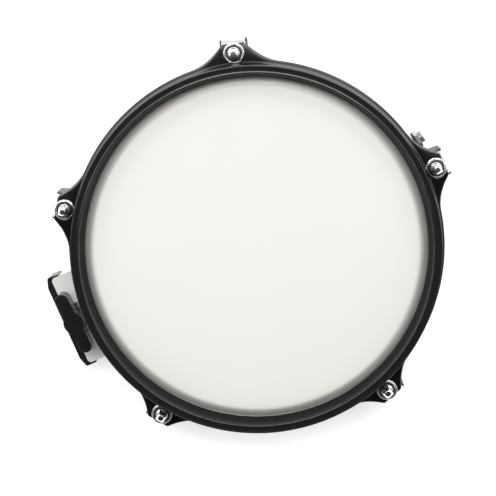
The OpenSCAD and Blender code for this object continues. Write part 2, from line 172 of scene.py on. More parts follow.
class Tree:
    """A node tree of either kind."""

    def __init__(self, tree):
        self.tree = tree

    def node(self, kind, settings=None, sockets=None, out=0):
        made = self.tree.nodes.new(kind)
        for name, value in (settings or {}).items():
            if name == "stops":
                for stop, (at, colour) in zip(made.color_ramp.elements, value):
                    stop.position, stop.color = at, colour
            else:
                setattr(made, name, value)
        for key, value in (sockets or {}).items():
            if isinstance(value, Wire):
                self.tree.links.new(value.socket, made.inputs[key])
            else:
                made.inputs[key].default_value = value
        return Wire(self, made.outputs[out])

    def parts(self, vector):
        return [self.node("ShaderNodeSeparateXYZ", {}, {0: vector}, out=i) for i in range(3)]


print("node helpers ready")

# %% Finish: one material
class Finish(Tree):
    """A Principled material. Even values go straight on its sockets, and varying ones through vary()."""

    def __init__(self, name, colour, **even):
        self.material = bpy.data.materials.new(name)
        self.material.use_nodes = True
        super().__init__(self.material.node_tree)
        self.shader = self.tree.nodes["Principled BSDF"]
        self.colour = (*colour, 1)
        self.shader.inputs["Base Color"].default_value = self.colour
        for socket, value in even.items():
            self.shader.inputs[socket.replace("_", " ")].default_value = value
        self.material.diffuse_color = self.colour

    def place(self):
        return self.node("ShaderNodeTexCoord", out=3)

    def noise(self, scale, detail=2, stretch=None):
        where = self.place()
        if stretch:
            where = self.node("ShaderNodeVectorMath", {"operation": "MULTIPLY"}, {0: where, 1: stretch})
        return self.node("ShaderNodeTexNoise", {}, {"Vector": where, "Scale": scale, "Detail": detail})

    def tint(self, amount, worn):
        mixed = self.node("ShaderNodeMix", {"data_type": "RGBA"},
                          {0: amount, 6: self.colour, 7: (*worn, 1)}, out=2)
        self.vary("Base Color", mixed)

    def vary(self, socket, wire_in):
        self.tree.links.new(wire_in.socket, self.shader.inputs[socket])

    def bump(self, height, depth, strength):
        levels = {"Height": height, "Distance": depth, "Strength": strength}
        self.vary("Normal", self.node("ShaderNodeBump", {}, levels))


finishes = {}
base_colours = {m["slot"]: tuple(m["base_color"]) for m in record["materials"]}


def finish(slot, **even):
    finishes[slot] = made = Finish(slot, even.pop("colour", base_colours[slot]), **even)
    return made


print("slots to finish:", len(base_colours))

# %% [markdown]
# ## White and woven finishes
# The head is a fine open weave of warm white polyester. Its threads are far too many to model, so two
# crossed waves raise them in the bump, and slow noise keeps the cloth from looking printed. The shell's
# wrap is gloss film, and the clamp box is a satin moulding with a fine grain.

# %% Head, shell and clamp box
weave = finish("head_weave", Roughness=0.62, Sheen_Weight=0.12)
x, y = weave.parts(weave.place())[:2]
pitch = 2 * math.pi / (0.55 * MM)
threads = ((x * pitch).maths("SINE") * (y * pitch).maths("SINE") + 1) * 0.5
cloudy = weave.noise(9, 3)
weave.tint((threads * 0.1 + cloudy * 0.35).clamped(), (0.82, 0.785, 0.725))
weave.bump(threads, 0.05 * MM, 0.5)

wrap = finish("shell_white", Roughness=0.2, Coat_Weight=0.3, Coat_Roughness=0.08)
wrap.tint(wrap.noise(14, 3) * 0.5, (0.80, 0.80, 0.775))
wrap.bump(wrap.noise(420, 2), 0.03 * MM, 0.3)

box_white = finish("clamp_white", colour=(0.93, 0.93, 0.905), Roughness=0.4)
box_white.tint(box_white.noise(60, 4) * 0.4, (0.84, 0.84, 0.81))
box_white.vary("Roughness", 0.34 + box_white.noise(300, 2) * 0.16)
box_white.bump(box_white.noise(1800, 2), 0.03 * MM, 0.5)
print("white finishes done")

# %% [markdown]
# ## Black finishes
# The hoop is die-cast metal under gloss black powder, which always keeps a slight orange peel. The rim
# cover is matt moulded rubber. The knob and plate are grained, with a faint patchy tint.

# %% Hoop, rim and moulded blacks
powder = finish("gloss_black", colour=(0.006, 0.006, 0.006), Roughness=0.16, IOR=1.65)
powder.vary("Roughness", 0.12 + powder.noise(90, 3) * 0.08)
powder.tint(powder.noise(40, 4) * 0.6, (0.010, 0.010, 0.010))
powder.bump(powder.noise(520, 2), 0.04 * MM, 0.35)

sleeve = finish("rim_rubber", colour=(0.014, 0.014, 0.013), Roughness=0.2, IOR=1.5)
sleeve.tint(sleeve.noise(70, 5) * 0.7, (0.009, 0.009, 0.009))
sleeve.vary("Roughness", 0.16 + sleeve.noise(220, 3) * 0.08)
sleeve.bump(sleeve.noise(2600, 2), 0.03 * MM, 0.5)


def grained(slot, rough, grain, depth, worn, **even):
    made = finish(slot, Roughness=rough, **even)
    made.tint(made.noise(110, 4) * 0.7, worn)
    made.vary("Roughness", rough - 0.06 + made.noise(260, 3) * 0.14)
    made.bump(made.noise(grain, 2), depth * MM, 0.6)
    return made


grained("black_plastic", 0.4, 2200, 0.04, (0.02, 0.02, 0.021), colour=(0.012, 0.012, 0.012))
grained("knob_black", 0.22, 1900, 0.02, (0.018, 0.018, 0.018), colour=(0.012, 0.012, 0.012))
grained("satin_black", 0.24, 1500, 0.02, (0.02, 0.02, 0.02), colour=(0.013, 0.013, 0.013))
grained("mat_rubber", 0.8, 900, 0.12, (0.055, 0.054, 0.052))
grained("gasket_rubber", 0.75, 1300, 0.06, (0.035, 0.035, 0.035))
grained("red_lead", 0.42, 1600, 0.03, (0.33, 0.02, 0.015))
grained("black_lead", 0.42, 1600, 0.03, (0.035, 0.035, 0.035))
print("black finishes done")

# %% [markdown]
# ## Metals and foam
# Chrome takes its look from what it mirrors, so its nodes only add faint smears and a few fine scratches
# to the roughness. Plain steel, zinc, aluminium and brass get long streaks from turning or rolling.
# The foam is a mass of small closed cells.

# %% Metals and foam
def metal(slot, rough, streak, wear=0.28, **even):
    made = finish(slot, Metallic=1.0, Roughness=rough, **even)
    lines = made.noise(700, 3, stretch=streak)
    shade = tuple(c * (1 - wear) for c in made.colour[:3])
    made.tint(lines * made.noise(60, 2), shade)
    made.vary("Roughness", rough - 0.05 + made.noise(45, 4) * 0.06 + lines * (0.2 * wear))
    made.bump(lines, 0.03 * wear * MM, 0.3)
    return made


metal("chrome", 0.21, (1, 1, 1), 0.03, colour=(0.92, 0.92, 0.91))
metal("zinc_steel", 0.32, (1, 1, 0.3))
metal("raw_steel", 0.38, (0.3, 1, 1))
metal("bare_aluminium", 0.34, (1, 1, 6))
metal("brass", 0.3, (1, 1, 5))

foam = finish("sensor_foam", Roughness=0.92)
cells = foam.node("ShaderNodeTexVoronoi", {"feature": "F1"}, {"Vector": foam.place(), "Scale": 900})
foam.tint((cells * 0.9 + foam.noise(120, 3) * 0.3).clamped(), (0.09, 0.09, 0.095))
foam.bump(cells, 0.25 * MM, 0.8)
print("finishes:", len(finishes), "of", len(base_colours))

# %% Floor and room
floor_finish = Finish("studio_floor", (0.93, 0.93, 0.925), Roughness=0.9)
floor_finish.shader.inputs["Emission Color"].default_value = (1, 1, 1, 1)
floor_finish.shader.inputs["Emission Strength"].default_value = 0.5
mesh = bpy.data.meshes.new("studio_floor")
reach = 9.0
corners = [(-reach, -reach, 0), (reach, -reach, 0), (reach, reach, 0), (-reach, reach, 0)]
mesh.from_pydata(corners, [], [(0, 1, 2, 3)])
mesh.materials.append(floor_finish.material)
floor = add_object("studio_floor", mesh)

world = bpy.data.worlds.new("studio_room")
world.use_nodes = True
room = Tree(world.node_tree)
height = room.parts(room.node("ShaderNodeTexCoord", out=0))[2]
walls_and_ceiling = [(0.3, (0.7, 0.7, 0.69, 1)), (0.7, (0.015, 0.015, 0.015, 1))]
glow = room.node("ShaderNodeValToRGB", {"stops": walls_and_ceiling}, {0: height})
room.tree.links.new(glow.socket, room.tree.nodes["Background"].inputs["Color"])
bpy.context.scene.world = world
bpy.context.scene.view_settings.view_transform = "Standard"
print("floor", 2 * reach, "m wide")

# %% [markdown]
# ## Ways of shaping a piece
# Nearly every part here is either turned about an axis or cut from a bar. A turned part is an outline
# spun round; a cut one is an outline pushed straight up, bored, and then given small round edges,
# because a real edge is never a knife and that thin highlight is what makes it look solid.

# %% Outlines and solids
def fillet(corners, radius, steps=4):
    """A closed outline with round corners. radius is one number, or one for each corner."""
    radii = radius if isinstance(radius, list) else [radius] * len(corners)
    outline = []
    for i, r in enumerate(radii):
        here, before, after = (Vector(corners[k % len(corners)]) for k in (i, i - 1, i + 1))
        if r <= 0:
            outline.append(tuple(here))
            continue
        to_before, to_after = before - here, after - here
        room_left = 0.49 * min(to_before.length, to_after.length)
        half = to_before.angle(to_after) / 2
        cut = min(r / math.tan(half), room_left)
        centre = here + (to_before.normalized() + to_after.normalized()).normalized() * (cut / math.cos(half))
        ends = [here + side.normalized() * cut - centre for side in (to_before, to_after)]
        angles = [math.atan2(e.y, e.x) for e in ends]
        sweep = (angles[1] - angles[0] + math.pi) % (2 * math.pi) - math.pi
        for k in range(steps + 1):
            a = angles[0] + sweep * k / steps
            outline.append((centre.x + ends[0].length * math.cos(a), centre.y + ends[0].length * math.sin(a)))
    return outline


def plain_object(name, bm, smooth_angle=32):
    """A bmesh in millimetres becomes an object in metres, with normals outwards."""
    bmesh.ops.remove_doubles(bm, verts=bm.verts, dist=0.0005)
    bmesh.ops.recalc_face_normals(bm, faces=bm.faces)
    bm.transform(Matrix.Scale(MM, 4))
    made = bpy.data.meshes.new(name)
    bm.to_mesh(made)
    bm.free()
    made.polygons.foreach_set("use_smooth", [True] * len(made.polygons))
    if smooth_angle:
        made.set_sharp_from_angle(angle=math.radians(smooth_angle))
    return add_object(name, made)


def turned(name, outline, around=192, smooth_angle=32):
    """A closed outline of (radius, height) spun about Z."""
    bm = bmesh.new()
    rings = []
    for k in range(around):
        c, s = math.cos(2 * math.pi * k / around), math.sin(2 * math.pi * k / around)
        rings.append([bm.verts.new((r * c, r * s, h)) for r, h in outline])
    for k in range(around):
        a, b = rings[k], rings[(k + 1) % around]
        for i in range(len(outline)):
            j = (i + 1) % len(outline)
            if max(outline[i][0], outline[j][0]) > 1e-6:
                bm.faces.new((a[i], b[i], b[j], a[j]))
    bmesh.ops.remove_doubles(bm, verts=bm.verts, dist=0.0005)
    bmesh.ops.dissolve_degenerate(bm, edges=bm.edges, dist=0.0004)
    return plain_object(name, bm, smooth_angle)


def pushed(name, outline, low, high):
    """A closed outline pushed straight up from low to high."""
    bm = bmesh.new()
    below = [bm.verts.new((px, py, low)) for px, py in outline]
    above = [bm.verts.new((px, py, high)) for px, py in outline]
    bm.faces.new(below)
    bm.faces.new(above)
    for i in range(len(outline)):
        j = (i + 1) % len(outline)
        bm.faces.new((below[i], below[j], above[j], above[i]))
    return plain_object(name, bm, None)


def drawn(piece):
    """The piece as its modifiers leave it, as a plain mesh."""
    bpy.context.view_layer.update()
    depsgraph = bpy.context.evaluated_depsgraph_get()
    made = bpy.data.meshes.new_from_object(piece.evaluated_get(depsgraph))
    made.name = piece.name
    piece.modifiers.clear()
    piece.data = made
    return piece


def cut_and_ease(piece, cutters=(), edge=0.4, steps=3, keep=None):
    """Bores the piece with the cutters, then rounds its edges by edge mm."""
    for cutter in cutters:
        cut = piece.modifiers.new("bore", "BOOLEAN")
        cut.operation = "INTERSECT" if cutter is keep else "DIFFERENCE"
        cut.solver, cut.object = "EXACT", cutter
    if edge:
        ease = piece.modifiers.new("ease", "BEVEL")
        ease.width, ease.segments = edge * MM, steps
        ease.limit_method, ease.angle_limit = "ANGLE", math.radians(34)
        ease.harden_normals = True
        ease.use_clamp_overlap = True
    drawn(piece)
    for cutter in cutters:
        bpy.data.objects.remove(cutter)
    return piece


def rod_shape(name, radius, length, at=(0, 0, 0), along="Z", around=64):
    """A plain pin, used only as a cutter."""
    pin = turned(name, [(0, 0), (radius, 0), (radius, length), (0, length)], around)
    aim_at = {"Z": Matrix.Identity(4), "X": Matrix.Rotation(math.radians(90), 4, "Y")}[along]
    pin.data.transform(Matrix.Translation(Vector(at) * MM) @ aim_at)
    return pin


def facing_out(piece, at):
    """Lays a piece that was made along Z along X, and moves it to a point in mm."""
    piece.data.transform(Matrix.Translation(Vector(at) * MM) @ Matrix.Rotation(math.radians(90), 4, "Y"))
    return piece


def rectangle(near, far, half):
    return [(near, -half), (far, -half), (far, half), (near, half)]


def hexagon(radius, first=0):
    turns_of_six = [math.radians(60 * k + first) for k in range(6)]
    return [(radius * math.cos(a), radius * math.sin(a)) for a in turns_of_six]


def moved(piece, angle=0.0, at=(0, 0, 0)):
    """Turns the mesh about Z and then shifts it, in degrees and mm. The object stays at the origin."""
    piece.data.transform(Matrix.Rotation(math.radians(angle), 4, "Z") @ Matrix.Translation(Vector(at) * MM))
    return piece


def add(piece, slot, body):
    """Gives the piece its finish and its body."""
    piece.data.materials.clear()
    piece.data.materials.append(finishes[slot].material)
    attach(piece, body)
    return piece


def fit(piece, slot, body, *stands_for):
    """Adds the piece and hides the CAD nodes that it stands for."""
    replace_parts(add(piece, slot, body), *stands_for)
    return piece


print("shaping helpers ready")

# %% [markdown]
# ## Rules as Geometry Nodes
# Some parts follow a rule: the hoop is one section carried round a circle and pulled out at each ear,
# and rods, lugs and screws are one shape set at even angles. Such a rule is a Geometry Nodes tree with
# its sizes as named inputs, so that a maker could change the number of ears without redrawing.

# %% Rule: a Geometry Nodes tree with named inputs
class Rule(Tree):
    def __init__(self, name, **sizes):
        super().__init__(bpy.data.node_groups.new(name, "GeometryNodeTree"))
        self.tree.interface.new_socket("Geometry", in_out="INPUT", socket_type="NodeSocketGeometry")
        self.names = {}
        for size, value in sizes.items():
            kind = "NodeSocketInt" if isinstance(value, int) else "NodeSocketFloat"
            item = self.tree.interface.new_socket(size, in_out="INPUT", socket_type=kind)
            item.default_value = value
            self.names[size] = item.identifier
        item = self.tree.interface.new_socket("Material", in_out="INPUT", socket_type="NodeSocketMaterial")
        self.names["Material"] = item.identifier
        self.tree.interface.new_socket("Geometry", in_out="OUTPUT", socket_type="NodeSocketGeometry")
        self.entry = self.tree.nodes.new("NodeGroupInput")

    def size(self, name):
        return Wire(self, self.entry.outputs[name])

    def end(self, shape):
        plain = self.node("GeometryNodeRealizeInstances", {}, {0: shape})
        coated = self.node("GeometryNodeSetMaterial", {}, {0: plain, 2: self.size("Material")})
        exit_node = self.tree.nodes.new("NodeGroupOutput")
        self.tree.links.new(coated.socket, exit_node.inputs[0])

    def draw(self, piece, slot, **sizes):
        """Runs the rule on a piece and leaves a plain mesh."""
        run = piece.modifiers.new(self.tree.name, "NODES")
        run.node_group = self.tree
        for size, value in sizes.items():
            run[self.names[size]] = value
        run[self.names["Material"]] = finishes[slot].material
        return drawn(piece)


around = Rule("set_around", Count=5, First=18.0, Step=72.0)
index = around.node("GeometryNodeInputIndex")
spots = around.node("GeometryNodePoints", {}, {0: around.size("Count")})
spin = (around.size("First") + index * around.size("Step")) * (math.pi / 180)
around.end(around.node("GeometryNodeInstanceOnPoints", {},
                       {"Points": spots, "Instance": around.size("Geometry"),
                        "Rotation": around.node("ShaderNodeCombineXYZ", {}, {2: spin})}))
print("rule set_around has inputs", list(around.names))

# %% [markdown]
# ## Hoop
# The hoop carries the whole pull of the rods. Its section has a skirt that keeps it centred, a foot that
# presses the head's ring down, a hollow outer slope, and a wall that the rubber cover sits on. Carried
# round a circle it would be a plain ring; at each ear the outer points move out by a share that is full
# over the flat tip and dies away along a hollow flank. Lower points move by a wider share, so the flank
# leans. The rod holes and the flat seats for the washers are cut last.

# %% Hoop section
ear_count, first_ear, rod_circle = 5, 18.0, 146.0
step_a = 360 / ear_count
head_top = round(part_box("woven_head")[1].z / MM, 3)
ear_z = head_top - 9
flange, hoop_low = 140.5, head_top - 18
# radius, height, share of the upper pull, share of the lower pull, drop at the ear
section = []
for r, h in [(131.2, hoop_low), (134.3, hoop_low)]:
    section.append((r, h, 0, 0, 0))
section.append((137.1, hoop_low + 2, 0, 0, 0))
for r, h in [(138.3, hoop_low + 2.9), (138.8, hoop_low + 3.5), (139.1, hoop_low + 4.1)]:
    section.append((r, h, 0, 1, 2.4))
section.append((flange - 0.35, 54.6, 0, 1, 1.6))
section.append((flange, 55.6, 0, 1, 1.4))
section.append((flange - 0.3, 56.6, 0.45, 0.5, 0.9))
section.append((flange - 0.15, 57.9, 1, 0, 0.2))
for a in (0, 22.5, 45, 67.5, 90):
    c, s = math.cos(math.radians(a)), math.sin(math.radians(a))
    section.append((flange - 1 + c, ear_z - 1 + s, 1, 0, 0))
section.append((flange - 1.02, ear_z, 0, 0, 0))
for a in range(16, 91, 6):
    c, s = math.cos(math.radians(a)), math.sin(math.radians(a))
    section.append((flange - 4.1 * s, head_top - 9 * c, 0, 0, 0))
for r, h in [(135.4, head_top), (135.4, head_top + 8.5), (132.6, head_top + 8.5), (132.6, head_top + 0.5),
             (131.6, head_top + 0.5), (128.5, 63.8), (128.2, 63.2), (128.2, 61.3), (128.5, 61), (131.2, 61)]:
    section.append((r, h, 0, 0, 0))
print("hoop section:", len(section), "points")

# %% Hoop rule
eared = Rule("eared_ring", Flange=flange, Tip=153.0, Steps=720, First=first_ear, Apart=step_a,
             Flat=3.2, Spread=13.0, Hollow=2.6, Skirt_spread=14.0, Skirt_hollow=2.4)
outline = eared.node("GeometryNodeMeshToCurve", {}, {0: eared.size("Geometry")})
rail = eared.node("GeometryNodeCurvePrimitiveCircle", {}, {"Resolution": eared.size("Steps"), "Radius": 0.1})
marked = eared.tree.nodes.new("GeometryNodeCaptureAttribute")
marked.capture_items.new("FLOAT", "turn")
eared.tree.links.new(rail.socket, marked.inputs[0])
eared.tree.links.new(eared.node("GeometryNodeSplineParameter").socket, marked.inputs[1])
swept = eared.node("GeometryNodeCurveToMesh", {},
                   {"Curve": Wire(eared, marked.outputs[0]), "Profile Curve": outline})
angle = Wire(eared, marked.outputs[1]) * 360
half_apart = eared.size("Apart") * 0.5


def stored(name):
    return eared.node("GeometryNodeInputNamedAttribute", {"data_type": "FLOAT"}, {0: name})


off = abs((angle - eared.size("First") + half_apart) % eared.size("Apart") - half_apart)


def share(spread, hollow):
    """1 over the flat tip, dying away to 0 along the flank."""
    flank = ((off - eared.size("Flat")) / (eared.size(spread) - eared.size("Flat"))).clamped()
    return (1 - flank) ** eared.size(hollow)


upper = share("Spread", "Hollow")
lower = share("Skirt_spread", "Skirt_hollow")
tip_line = eared.size("Tip") * MM / (off * (math.pi / 180)).maths("COSINE")
pull = stored("upper") * upper + stored("lower") * lower
radius = stored("section_r") + (tip_line - eared.size("Flange") * MM) * pull
radius = radius + (eared.size("Flange") * MM - stored("section_r")) * stored("lower") * lower
height = stored("section_z") - stored("drop") * lower * MM
turn_a = angle * (math.pi / 180)
where = eared.node("ShaderNodeCombineXYZ", {}, {
    0: radius * turn_a.maths("COSINE"), 1: radius * turn_a.maths("SINE"), 2: height})
placed = eared.node("GeometryNodeSetPosition", {}, {"Geometry": swept, "Position": where})
eared.end(eared.node("GeometryNodeMergeByDistance", {}, {"Geometry": placed, "Distance": 0.00001}))

profile = bpy.data.meshes.new("hoop")
profile.from_pydata([(r * MM, h * MM, 0) for r, h, *_ in section],
                    [(i, (i + 1) % len(section)) for i in range(len(section))], [])
for name, values in {"section_r": [s[0] * MM for s in section], "section_z": [s[1] * MM for s in section],
                     "upper": [s[2] for s in section], "lower": [s[3] for s in section],
                     "drop": [s[4] for s in section]}.items():
    profile.attributes.new(name, "FLOAT", "POINT").data.foreach_set("value", values)
hoop = eared.draw(add_object("hoop_ring", profile), "gloss_black")
print("hoop before boring:", len(hoop.data.polygons), "faces")

# %% Bore the ears and close the mesh
bm = bmesh.new()
bm.from_mesh(hoop.data)
bmesh.ops.remove_doubles(bm, verts=bm.verts, dist=1e-6)
bmesh.ops.recalc_face_normals(bm, faces=bm.faces)
bm.to_mesh(hoop.data)
bm.free()
seat = [(0, hoop_low - 2), (3.4, hoop_low - 2), (3.4, ear_z), (8.15, ear_z),
        (8.15, head_top + 0.2), (0, head_top + 0.2)]
cutter = around.draw(moved(turned("seat_cutter", seat, 48), 0, (rod_circle, 0, 0)), "gloss_black")
cut_and_ease(hoop, [cutter], edge=0)
hoop.data.polygons.foreach_set("use_smooth", [True] * len(hoop.data.polygons))
hoop.data.set_sharp_from_angle(angle=math.radians(32))
fit(hoop, "gloss_black", "pad", "hoop")
print("hoop:", len(hoop.data.polygons), "faces")

# %% [markdown]
# ## Rim cover
# A rubber sleeve is pushed over the hoop's wall to soften the sound of rim strokes. It has a bead along
# each edge with a shallow hollow between them, and the beads are what catch the light.

# %% Rim cover
rim_top = round(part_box("rim_cover")[1].z / MM, 3)
cover = [(131, head_top + 0.6)]
cover += [(r, rim_top - drop) for r, drop in [
    (131, 0.35), (131.25, 0.13), (131.55, 0.06), (131.85, 0), (132.15, 0.06), (132.45, 0.15), (132.9, 0.2),
    (135.1, 0.2), (135.55, 0.15), (135.85, 0.06), (136.15, 0), (136.45, 0.045), (136.75, 0.115), (137, 0.4)]]
cover += [(137, head_top), (135.5, head_top), (135.5, rim_top - 1.95),
          (132.5, rim_top - 1.95), (132.5, head_top + 0.6)]
rim_cover = fit(turned("rim_cover_sleeve", cover, 288, 50), "rim_rubber", "pad", "rim_cover")
print("rim cover:", len(rim_cover.data.polygons), "faces")

# %% [markdown]
# ## Head
# The head is one disc of cloth, cut about 262 mm across. It lies flat over the shell's crown, turns down
# round it in a small bend, and runs to the ring that the hoop presses on. It is a sheet held stretched,
# so it is modelled as a thin closed skin with a smooth bend.

# %% Head
film = 0.5
upper_line = [(0, head_top), (60, head_top), (112, head_top), (119.4, head_top - 0.02),
              (120.6, head_top - 0.16), (121.6, head_top - 0.5), (122.4, head_top - 1.1),
              (124.2, 66.0), (126.0, 63.4), (127.45, 61.1)]


def below(r, h):
    """The point of the head's underside below a point of its top, which leans out round the bend."""
    inwards, steep = min(1, max(0, (r - 119) / 3)), min(1, max(0, (r - 121) / 4))
    return r - 0.45 * inwards, h - film + 0.3 * steep


lower_line = [below(r, h) for r, h in upper_line]
head = turned("head_cloth", upper_line + lower_line[::-1], 240, 60)
fit(head, "head_weave", "pad", "woven_head")

# %% [markdown]
# ## Tension rods and washers
# A key rod is a screw with a square head for a drum key, a collar that bears on a thick washer, and a
# fine thread. The thread is a small ridge carried along a spiral, made as a rule so that its pitch is
# a named size. A thin black ring laid into each washer's top is painted reflection: it stands for the
# dark ceiling mirrored in the washer's flat face. Rod and washer turn and lift on their own, so each is
# set at its ear by itself.

# %% Thread rule
thread = Rule("screw_thread", Pitch=1.0583, Core=2.5, Ridge=0.3, Length=37.0, Low=20.3)
turns = thread.size("Length") / thread.size("Pitch")
spiral = thread.node("GeometryNodeCurveSpiral", {}, {
    "Resolution": 20, "Rotations": turns, "Start Radius": thread.size("Core") * MM,
    "End Radius": thread.size("Core") * MM, "Height": thread.size("Length") * MM})
tooth = thread.node("GeometryNodeCurvePrimitiveCircle", {},
                    {"Resolution": 4, "Radius": thread.size("Ridge") * MM})
ridge = thread.node("GeometryNodeCurveToMesh", {},
                    {"Curve": spiral, "Profile Curve": tooth, "Fill Caps": True})
lifted = thread.node("GeometryNodeTransform", {}, {
    "Geometry": ridge, "Translation": thread.node("ShaderNodeCombineXYZ", {}, {2: thread.size("Low") * MM})})
thread.end(lifted)
print("thread turns:", round(37 / 1.0583))

# %% One rod and one washer
washer_low = ear_z + 0.05
collar_low = ear_z + 1.6
key_low, key_high = collar_low + 2, collar_low + 12


def rod():
    """A shank with its collar, and a square key head with a domed end."""
    shank_line = [(0, 20), (2.5, 20), (2.5, 58.2), (2.85, 58.6), (2.85, collar_low), (4.55, collar_low),
                  (4.55, key_low - 0.35), (3.3, key_low + 0.15), (0, key_low + 0.15)]
    shank = turned("shank", fillet(shank_line, [0, 0.5, 0.1, 0.1, 0.1, 0.35, 0.8, 0.1, 0], 4), 48)
    half = 3.15
    key = pushed("key", fillet(rectangle(-half, half, half), 0.35, 2), key_low, key_high)
    dome_line = [(0, key_low - 1), (4.35, key_low - 1), (4.35, key_high - 2.2), (2.0, key_high), (0, key_high)]
    dome = turned("dome", fillet(dome_line, [0, 0, 1.4, 0.6, 0], 5), 64)
    cut_and_ease(key, [dome], edge=0.18, steps=2, keep=dome)
    return shank, key


def joined(name, pieces):
    bm = bmesh.new()
    for piece in pieces:
        bm.from_mesh(piece.data)
        bpy.data.objects.remove(piece)
    made = bpy.data.meshes.new(name)
    bm.to_mesh(made)
    bm.free()
    made.set_sharp_from_angle(angle=math.radians(32))
    return add_object(name, made)


washer_line = fillet([(r, washer_low + h) for r, h in [(3.1, 0), (7.75, 0), (7.75, 1.5), (6.1, 1.5), (6.0, 0.5),
                                                       (4.3, 0.5), (4.2, 1.44), (3.1, 1.44)]],
                     [0.15, 0.3, 0.74, 0.7, 0.1, 0.1, 0.1, 0.1], 4)
# painted reflection: a thin black ring in each washer's top stands for the dark ceiling mirrored in its flat
# face
painted_ring_line = fillet([(r, washer_low + h) for r, h in [(4.35, 0.55), (5.95, 0.55), (5.95, 1.2), (4.35, 1.2)]],
                    [0.1, 0.1, 0.2, 0.2], 3)
for n in range(1, ear_count + 1):
    angle_n = first_ear + step_a * (n - 1)
    ridge_n = thread.draw(add_object(f"thread_{n}", bpy.data.meshes.new("thread")), "chrome")
    key_rod = joined(f"key_rod_{n}", [*rod(), ridge_n])
    moved(key_rod, 0, (rod_circle, 0, 0))
    around.draw(key_rod, "chrome", Count=1, First=angle_n)
    fit(key_rod, "chrome", f"rod_{n}", f"tension_rod_{n}")
    washer = turned(f"thick_washer_{n}", washer_line, 64)
    moved(washer, 0, (rod_circle, 0, 0))
    around.draw(washer, "chrome", Count=1, First=angle_n)
    fit(washer, "chrome", f"washer_{n}", f"rod_washer_{n}")
    # the black ring is painted reflection, not a real part of the washer
    painted_ring = moved(turned(f"washer_painted_ring_{n}", painted_ring_line, 64), 0, (rod_circle, 0, 0))
    add(around.draw(painted_ring, "black_plastic", Count=1, First=angle_n), "black_plastic", f"washer_{n}")
print("key rod:", len(key_rod.data.polygons), "faces")

# %% [markdown]
# ## Lugs
# Each lug is a plated casting screwed to the shell. It holds the brass nut that its rod screws into.
# Its back follows the shell, its foot and shoulders are sloped, and it is bored from below. A thin black
# strip along each of its sides is painted shade: it stands for the plated lug's side walls, dark because
# they mirror the black hoop above. One lug is shaped and the rule sets it under all five ears.

# %% Lugs
def side_cut(name, side, width):
    """A bar whose side view is cut to an outline of (distance from centre, height)."""
    bar = pushed(name, side, -width / 2, width / 2)
    bar.data.transform(Matrix.Rotation(math.radians(90), 4, "X"))
    return bar


def shell_cutter(radius):
    return turned("shell_cutter", [(0, -5), (radius, -5), (radius, 90), (0, 90)], 256)


lug_x = 156.0
lug_half = 9.0
side_radii = [0, 3, 3, 2.5, 2.5, 0]
lug_side = [(121, 12), (146, 12), (lug_x, 18), (lug_x, 45), (lug_x - 3, 48), (121, 48)]
lug_side = fillet(lug_side, side_radii, 5)
lugs = pushed("lug_castings", fillet(rectangle(121, lug_x, lug_half), [0, 1.2, 1.2, 0], 5), 0, 60)
profile_bar = side_cut("lug_side", lug_side, 30)
cut_and_ease(lugs, [profile_bar, shell_cutter(124.8), rod_shape("nut_bore", 5.5, 49, (rod_circle, 0, -5)),
                    rod_shape("rod_bore", 3.55, 80, (rod_circle, 0, -5))], edge=0.6, keep=profile_bar)
around.draw(lugs, "chrome")
fit(lugs, "chrome", "pad", *[f"lug_{n}" for n in range(1, 6)])

# painted shade: thin black strips at each lug's sides stand for its dark, hoop-mirroring side walls
shade_strip_plan = fillet([(126, 8.95), (lug_x, 8.95), (lug_x, 10.25), (126, 10.25)], [0, 0, 0.6, 0], 4)
shade_strip_side = [(126, 12), (146, 12), (lug_x, 18), (lug_x, 45.4), (lug_x - 2.6, 48), (126, 48)]
shade_strip_side = fillet(shade_strip_side, side_radii, 5)
shade_strips = []
for side in (1, -1):
    bar = pushed("shade_strip_bar", [(px, side * py) for px, py in shade_strip_plan], 0, 60)
    profile_bar = side_cut("shade_strip_side", shade_strip_side, 30)
    shade_strips.append(cut_and_ease(bar, [profile_bar], edge=0.25, keep=profile_bar))
# the strips are painted shade, not real parts of the lug
add(around.draw(joined("lug_painted_shade_strips", shade_strips), "black_plastic"), "black_plastic", "pad")
print("lugs:", len(lugs.data.polygons), "faces")

# %% [markdown]
# ## Rod clamp
# A moulded white box is screwed to the shell. A black steel plate wraps its front and turns back round
# both ends, with a countersunk screw each side of the rod's hole. A wing screw runs down through a
# small steel collar and presses a shoe on the rod.

# %% Clamp box and plate
clamp_a, wing_x = 196.75, 152.0
box_low, box_top, box_x, half_box = 5.0, 27.0, 158.0, 36.0
screw_ys, sink_z = (-26, 26), 16.0
collar_screw_x, collar_screw_ys = wing_x - 7.5, (-9, 9)
box_plan = fillet(rectangle(109, box_x, half_box), [0, 1.6, 1.6, 0], 4)
box = pushed("clamp_box_moulding", box_plan, box_low, box_top)
cutters = [shell_cutter(124.8), rod_shape("rod_way", 5.4, 60, (127, 0, 14.5), "X", 96)]
cutters += [rod_shape("shoe_way", 4.05, 20, (wing_x, 0, 14.5))]
cutters += [rod_shape("tap", 1.2, 8, (collar_screw_x, py, box_top - 5)) for py in collar_screw_ys]
cutters += [rod_shape("tap", 1.5, 12, (box_x - 9, py, sink_z), "X") for py in screw_ys]
fit(moved(cut_and_ease(box, cutters, edge=0.9), clamp_a), "clamp_white", "pad", "clamp_box")

